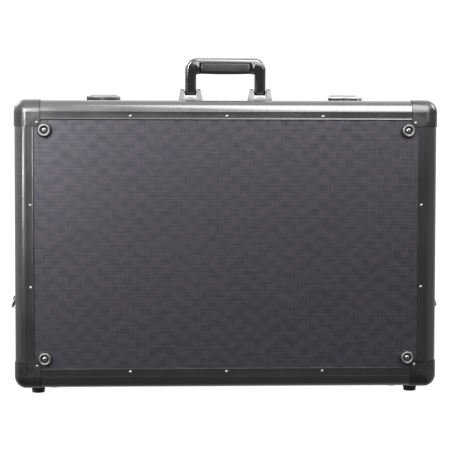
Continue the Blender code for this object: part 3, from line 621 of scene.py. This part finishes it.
def face_feet():
    """Round rubber feet with a metal ring let into the top and a screw down the recess."""
    proud = FRONT - CAD_BOX[0].y
    outer = 0.011
    ring_outer, ring_inner = 0.00945, 0.00615
    floor = proud - 0.0040
    groove = proud - 0.0007
    rubber = [
        (outer, -0.0025),
        (outer, proud - 0.0034),
        *arc((outer - 0.0016, proud - 0.0034), 0.0016, 10, 62, 5),
        (ring_outer + 0.0001, proud - 0.00045),
        (ring_outer + 0.0001, groove),
        (ring_inner, groove),
        (ring_inner - 0.0006, floor + 0.0004),
        (0, floor),
    ]
    crest = proud - 0.0006
    flatness = 0.34  # of the ring's half-round top
    middle = (ring_outer + ring_inner) / 2
    ring = [(ring_inner, groove)]
    for x, y in reversed(arc((middle, crest), (ring_outer - ring_inner) / 2, 12, 168, 8)):
        ring.append((x, min(y, crest + (y - crest) * flatness)))
    ring.append((ring_outer, groove))
    ring.append(ring[0])
    for level in ("top", "bottom"):
        for side, _ in SIDES:
            node = f"face_foot_{level}_{side}"
            low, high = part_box(node)
            place = facing(Vector(((low.x + high.x) / 2, FRONT, (low.z + high.z) / 2)), (0, -1, 0))
            builder = bmesh.new()
            lathe(builder, rubber, place, sides=48)
            foot = make_piece(f"{node}_rubber", builder, RUBBER, "base", smooth_angle=50.0)
            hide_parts(node)
            builder = bmesh.new()
            lathe(builder, ring, place, sides=48)
            make_piece(f"{node}_ring", builder, RING_METAL, "base", smooth_angle=60.0)
            screw_place = place @ Matrix.Translation((0, 0, floor))
            cross_screw(f"{node}_screw", screw_place, "base", height=0.0022)


def stand_feet():
    """Tapered rubber feet with a screw up inside the sole."""
    well_radius, well_depth = 0.0052, 0.0045
    for half, _, _ in HALVES:
        for side, _ in SIDES:
            node = f"stand_foot_{half}_{side}"
            low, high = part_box(node)
            reach = (high.x - low.x) / 2
            sole = reach - 0.0013
            profile = [
                (reach, -high.z),
                (reach, -high.z + 0.0015),
                (sole, -0.0016),
                *arc((sole - 0.0013, -0.0014), 0.0013, 0, 80, 4),
                (well_radius, -0.00002),
                (well_radius - 0.0006, -well_depth),
                (0, -well_depth),
            ]
            place = facing(Vector(((low.x + high.x) / 2, (low.y + high.y) / 2, 0)), (0, 0, -1))
            builder = bmesh.new()
            lathe(builder, profile, place, sides=48)
            foot = make_piece(f"{node}_rubber", builder, RUBBER, half, smooth_angle=50.0)
            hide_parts(node)
            screw = place @ Matrix.Translation((0, 0, -well_depth))
            cross_screw(f"{node}_screw", screw, half, radius=0.0036, height=0.0016)


def fitting_rivets():
    """Small rivets on hinges, latch plates, handle brackets and strap brackets, and a head on each handle
    pin.
    """
    for side, sign in SIDES:
        for half, _, _ in HALVES:
            low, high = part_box(f"hinge_{side}_{half}_leaf")
            middle = (low.x + high.x) / 2
            y = low.y + LEAF_RIVET_INSET if half == "base" else high.y - LEAF_RIVET_INSET
            z = BOTTOM - PLATE_RISE
            row = [(Vector((middle + step, y, z)), (0, 0, -1)) for step in (-0.018, 0, 0.018)]
            rivets(f"hinge_{side}_{half}_rivets", row, half, radius=0.0019, height=0.0008)

        z = TOP + PLATE_RISE
        low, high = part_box(f"latch_plate_{side}")
        middle = (low.x + high.x) / 2
        y = low.y + 0.007
        row = [(Vector((middle + step, y, z)), (0, 0, 1)) for step in (-0.019, 0.019)]
        rivets(f"latch_{side}_rivets", row, "base", radius=0.0019, height=0.0008)

        low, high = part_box(f"handle_bracket_{side}")
        middle = (low.x + high.x) / 2
        row = []
        for step in (-0.013, 0.013):
            for across in (-0.0124, 0.0124):
                row.append((Vector((middle + step, PIVOT.y + across, z)), (0, 0, 1)))
        rivets(f"bracket_{side}_rivets", row, "base", radius=0.0015, height=0.0007)
        head = Vector((sign * PIN_END, PIVOT.y, PIVOT.z))
        rivets(f"handle_pin_{side}_head", [(head, (sign, 0, 0))], "base", radius=0.0026, height=0.0010)

        low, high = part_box(f"strap_bracket_{side}")
        wall = sign * (HALF_WIDTH - STRAP_PLATE_DROP)
        middle, z = (low.y + high.y) / 2, low.z + 0.0072
        row = [(Vector((wall, middle + across, z)), (sign, 0, 0)) for across in (-0.0072, 0.0072)]
        rivets(f"strap_{side}_rivets", row, "base", radius=0.0014, height=0.0006)


def lock_details():
    """A key cylinder beside each release button, and ribs across the button."""
    radius = 0.0030
    profile = [(radius, -0.0004), (radius, 0.0004), (radius - 0.0003, 0.0007), (radius - 0.0008, 0.0007)]
    profile += [(radius - 0.0010, 0.0003), (0, 0.0003)]
    for side, sign in SIDES:
        low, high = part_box(f"lock_body_{side}")
        button_low, button_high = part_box(f"lock_button_{side}")
        centre_x = (button_low.x + button_high.x) / 2
        centre_y = (button_low.y + button_high.y) / 2
        x = (low.x + high.x) / 2 - sign * 0.0145
        builder = bmesh.new()
        lathe(builder, profile, facing(Vector((x, centre_y, high.z)), (0, 0, 1)), sides=32)
        cylinder = make_piece(f"lock_cylinder_{side}", builder, PLATED, "lid")
        keyway = Matrix.Translation((x, centre_y, high.z + 0.0003))
        carve(cylinder, (0.00035, 0.0014, 0.0006), keyway)

        half_length = (button_high.y - button_low.y) / 2 - 0.0008
        builder = bmesh.new()
        for rib in range(-2, 3):
            ridge = Matrix.Translation((centre_x + rib * 0.0021, centre_y, button_high.z - 0.00005))
            wedge(builder, ridge, 0.0005, half_length, 0.0004)
        name = f"lock_button_{side}_ribs"
        make_piece(name, builder, PLATED, f"button_{side}", smooth_angle=30.0)


def wedge(builder, place, half_width, half_length, height):
    """Adds a small ridge with a rounded crest, lying along Y."""
    outline = []
    for degrees in range(0, 181, 30):
        angle = math.radians(degrees)
        outline.append((half_width * math.cos(angle), height * math.sin(angle)))
    outline += [(-half_width, -height), (half_width, -height)]
    ends = []
    for y in (-half_length, half_length):
        ends.append([builder.verts.new(place @ Vector((x, y, z))) for x, z in outline])
    for index in range(len(outline)):
        following = (index + 1) % len(outline)
        builder.faces.new((ends[0][index], ends[0][following], ends[1][following], ends[1][index]))
    builder.faces.new(ends[0])
    builder.faces.new(ends[1])


def foam_linings():
    """Foam in each half: a flat pad with soft edges in the base, a pad of rounded peaks in the lid."""
    for half, _, inward in HALVES:
        node = f"{half}_lining"
        low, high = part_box(node)
        seat = low.y if inward > 0 else high.y
        peaks = 0.0 if half == "base" else 0.0085
        columns, rows = (140, 94) if peaks else (120, 80)
        builder = bmesh.new()
        grid = []
        for row in range(rows + 1):
            line = []
            for column in range(columns + 1):
                x = low.x + (high.x - low.x) * column / columns
                z = low.z + (high.z - low.z) * row / rows
                rise = foam_rise(x, z, low, high, peaks)
                line.append(builder.verts.new((x, seat + inward * rise, z)))
            grid.append(line)
        for lower, upper in zip(grid, grid[1:]):
            for column in range(columns):
                corners = (lower[column], lower[column + 1], upper[column + 1], upper[column])
                builder.faces.new(corners)
        right = [line[-1] for line in grid[1:-1]]
        left = [line[0] for line in reversed(grid[1:-1])]
        rim = grid[0] + right + list(reversed(grid[-1])) + left
        floor = [builder.verts.new((corner.co.x, seat, corner.co.z)) for corner in rim]
        for index in range(len(rim)):
            following = (index + 1) % len(rim)
            builder.faces.new((rim[index], rim[following], floor[following], floor[index]))
        builder.faces.new(floor)
        pad = make_piece(f"{half}_foam", builder, FOAM, half, smooth_angle=60.0)
        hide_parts(node)


def foam_rise(x, z, low, high, peaks):
    """Height of the foam above its seat: rounded at the edges, settled here and there, with peaks."""
    pitch = 0.032
    soft = 0.006  # width of the rounded edge
    edge = min(x - low.x, high.x - x, z - low.z, high.z - z)
    edge = max(min(edge, corner_distance(x, z, low, high, 0.009)), 0.0)
    fall = max(0.0, 1 - edge / soft)
    wave = math.sin(math.pi * x / pitch) * math.sin(math.pi * z / pitch)
    settle = 0.0006 * (math.sin(x * 31) * math.sin(z * 27 + 1) - 1)
    rise = high.y - low.y - soft * 0.8 * fall * fall
    return rise + peaks * (wave - 1) / 2 * min(1.0, edge / 0.012) + settle


def corner_distance(x, z, low, high, radius):
    """How far a point is inside the pad's rounded corners; large away from them."""
    inner_x = max(low.x + radius - x, x - (high.x - radius), 0.0)
    inner_z = max(low.z + radius - z, z - (high.z - radius), 0.0)
    if inner_x == 0 or inner_z == 0:
        return 1.0
    return radius - math.hypot(inner_x, inner_z)


# Camera, lights and floor --------------------------------------------------------------------------

def aim(thing, target):
    thing.rotation_mode = "QUATERNION"
    thing.rotation_quaternion = (Vector(target) - thing.location).to_track_quat("-Z", "Y")


def place_camera():
    """A long lens, a little to the left of the case and a little above it."""
    azimuth, elevation, roll = (math.radians(a) for a in (-2.84, 3.105, 0.096))
    distance = 2.684
    target = Vector((-0.0030, FRONT, MIDDLE.z + 0.0302))
    back = Vector((
        math.sin(azimuth) * math.cos(elevation),
        -math.cos(azimuth) * math.cos(elevation),
        math.sin(elevation),
    ))
    data = bpy.data.cameras.new("camera")
    data.lens = 140.0
    data.sensor_width = 36.0
    data.sensor_fit = "HORIZONTAL"
    data.clip_start, data.clip_end = 0.05, 100.0
    camera = bpy.data.objects.new("camera", data)
    bpy.context.scene.collection.objects.link(camera)
    camera.location = target + back * distance
    right = Vector((math.cos(azimuth), math.sin(azimuth), 0))
    up = back.cross(right)
    turned_right = right * math.cos(roll) + up * math.sin(roll)
    turned_up = up * math.cos(roll) - right * math.sin(roll)
    camera.rotation_mode = "QUATERNION"
    camera.rotation_quaternion = Matrix((turned_right, turned_up, back)).transposed().to_quaternion()
    bpy.context.scene.camera = camera


def softbox(name, azimuth, elevation, distance, size, radiance, target=MIDDLE):
    """An area light that looks at the case; azimuth 0 is in front of it, and positive is to the right."""
    a, e = math.radians(azimuth), math.radians(elevation)
    data = bpy.data.lights.new(name, "AREA")
    data.shape = "RECTANGLE"
    data.size, data.size_y = size
    data.energy = radiance * math.pi * size[0] * size[1]
    light = bpy.data.objects.new(name, data)
    bpy.context.scene.collection.objects.link(light)
    direction = Vector((math.sin(a) * math.cos(e), -math.cos(a) * math.cos(e), math.sin(e)))
    light.location = Vector(target) + direction * distance
    aim(light, target)
    return light


def studio():
    """Softboxes: highlights for the front, and fills for the right side and the back."""
    softbox("top_key", 21, 47, 1.9, (1.0, 1.5), 5.2)
    softbox("low_key", 19, 17, 2.3, (1.7, 0.35), 3.4)
    softbox("left_strip", -22, 20, 2.3, (0.20, 1.1), 43.0)
    softbox("left_spot", -38, 2, 2.3, (0.14, 0.16), 28.0)
    softbox("right_fill", 98, 34, 2.2, (0.9, 0.9), 7.0)
    softbox("rear_fill", 236, 38, 2.4, (1.0, 1.0), 6.0)


def room():
    """The world: bright to the upper left, dim to the lower right, with a glow at the right and behind.

    The camera sees plain white instead.
    """
    world = bpy.data.worlds.new("studio")
    bpy.context.scene.world = world
    world.use_nodes = True
    nodes, links = world.node_tree.nodes, world.node_tree.links
    nodes.clear()
    coordinates = nodes.new("ShaderNodeTexCoord")

    def ramp(value, start, end, low, high):
        fade = nodes.new("ShaderNodeMapRange")
        fade.interpolation_type = "SMOOTHSTEP"
        for socket, number in zip(fade.inputs[1:5], (start, end, low, high)):
            socket.default_value = number
        links.new(value, fade.inputs["Value"])
        return fade.outputs["Result"]

    upper_left = nodes.new("ShaderNodeVectorMath")
    upper_left.operation = "DOT_PRODUCT"
    upper_left.inputs[1].default_value = Vector((-0.30, 0.0, 0.95))
    links.new(coordinates.outputs["Generated"], upper_left.inputs[0])
    strength = ramp(upper_left.outputs["Value"], 0.04, 0.50, 0.18, 1.8)
    axes = nodes.new("ShaderNodeSeparateXYZ")
    links.new(coordinates.outputs["Generated"], axes.inputs[0])
    for axis, start, end, glow in (("X", 0.25, 0.95, 0.22), ("Y", 0.0, 0.7, 0.40)):
        total = nodes.new("ShaderNodeMath")
        links.new(strength, total.inputs[0])
        links.new(ramp(axes.outputs[axis], start, end, 0.0, glow), total.inputs[1])
        strength = total.outputs["Value"]

    light = nodes.new("ShaderNodeBackground")
    links.new(strength, light.inputs["Strength"])
    seen = nodes.new("ShaderNodeBackground")
    seen.inputs["Color"].default_value = (1.0, 1.0, 1.0, 1.0)
    seen.inputs["Strength"].default_value = 1.1
    path = nodes.new("ShaderNodeLightPath")
    pick = nodes.new("ShaderNodeMixShader")
    links.new(path.outputs["Is Camera Ray"], pick.inputs["Fac"])
    links.new(light.outputs["Background"], pick.inputs[1])
    links.new(seen.outputs["Background"], pick.inputs[2])
    output = nodes.new("ShaderNodeOutputWorld")
    links.new(pick.outputs["Shader"], output.inputs["Surface"])


def lay_floor():
    """A plain pale floor under the feet, thin as a haze so that the opened lid shows below it."""
    builder = bmesh.new()
    bmesh.ops.create_grid(builder, x_segments=1, y_segments=1, size=8.0)
    mesh = bpy.data.meshes.new("floor")
    builder.to_mesh(mesh)
    builder.free()
    pale = Finish("pale_floor", (0.9, 0.9, 0.9), 0.9, Specular_IOR_Level=0.1)
    pale.colour(pale.mix(pale.noise(3.0), (0.88, 0.88, 0.88), (0.92, 0.92, 0.92)))
    pale.shader.inputs["Alpha"].default_value = 0.06
    mesh.materials.append(pale.material)
    floor = bpy.data.objects.new("floor", mesh)
    bpy.context.scene.collection.objects.link(floor)
    floor.location.z = -0.0002
    floor.visible_glossy = False
    floor.visible_diffuse = False
    floor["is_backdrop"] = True


def note_sizes():
    """Works out the CAD box and the visual model's box as lists; nothing is done with them."""
    boxes = {"cad": CAD_BOX, "visual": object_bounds()}
    boxes = {name: [list(corner) for corner in box] for name, box in boxes.items()}


bpy.context.scene.view_settings.view_transform = "Standard"
place_camera()
studio()
room()
lay_floor()
dress_frame()
shell_rivets()
face_feet()
stand_feet()
fitting_rivets()
lock_details()
foam_linings()
note_sizes()
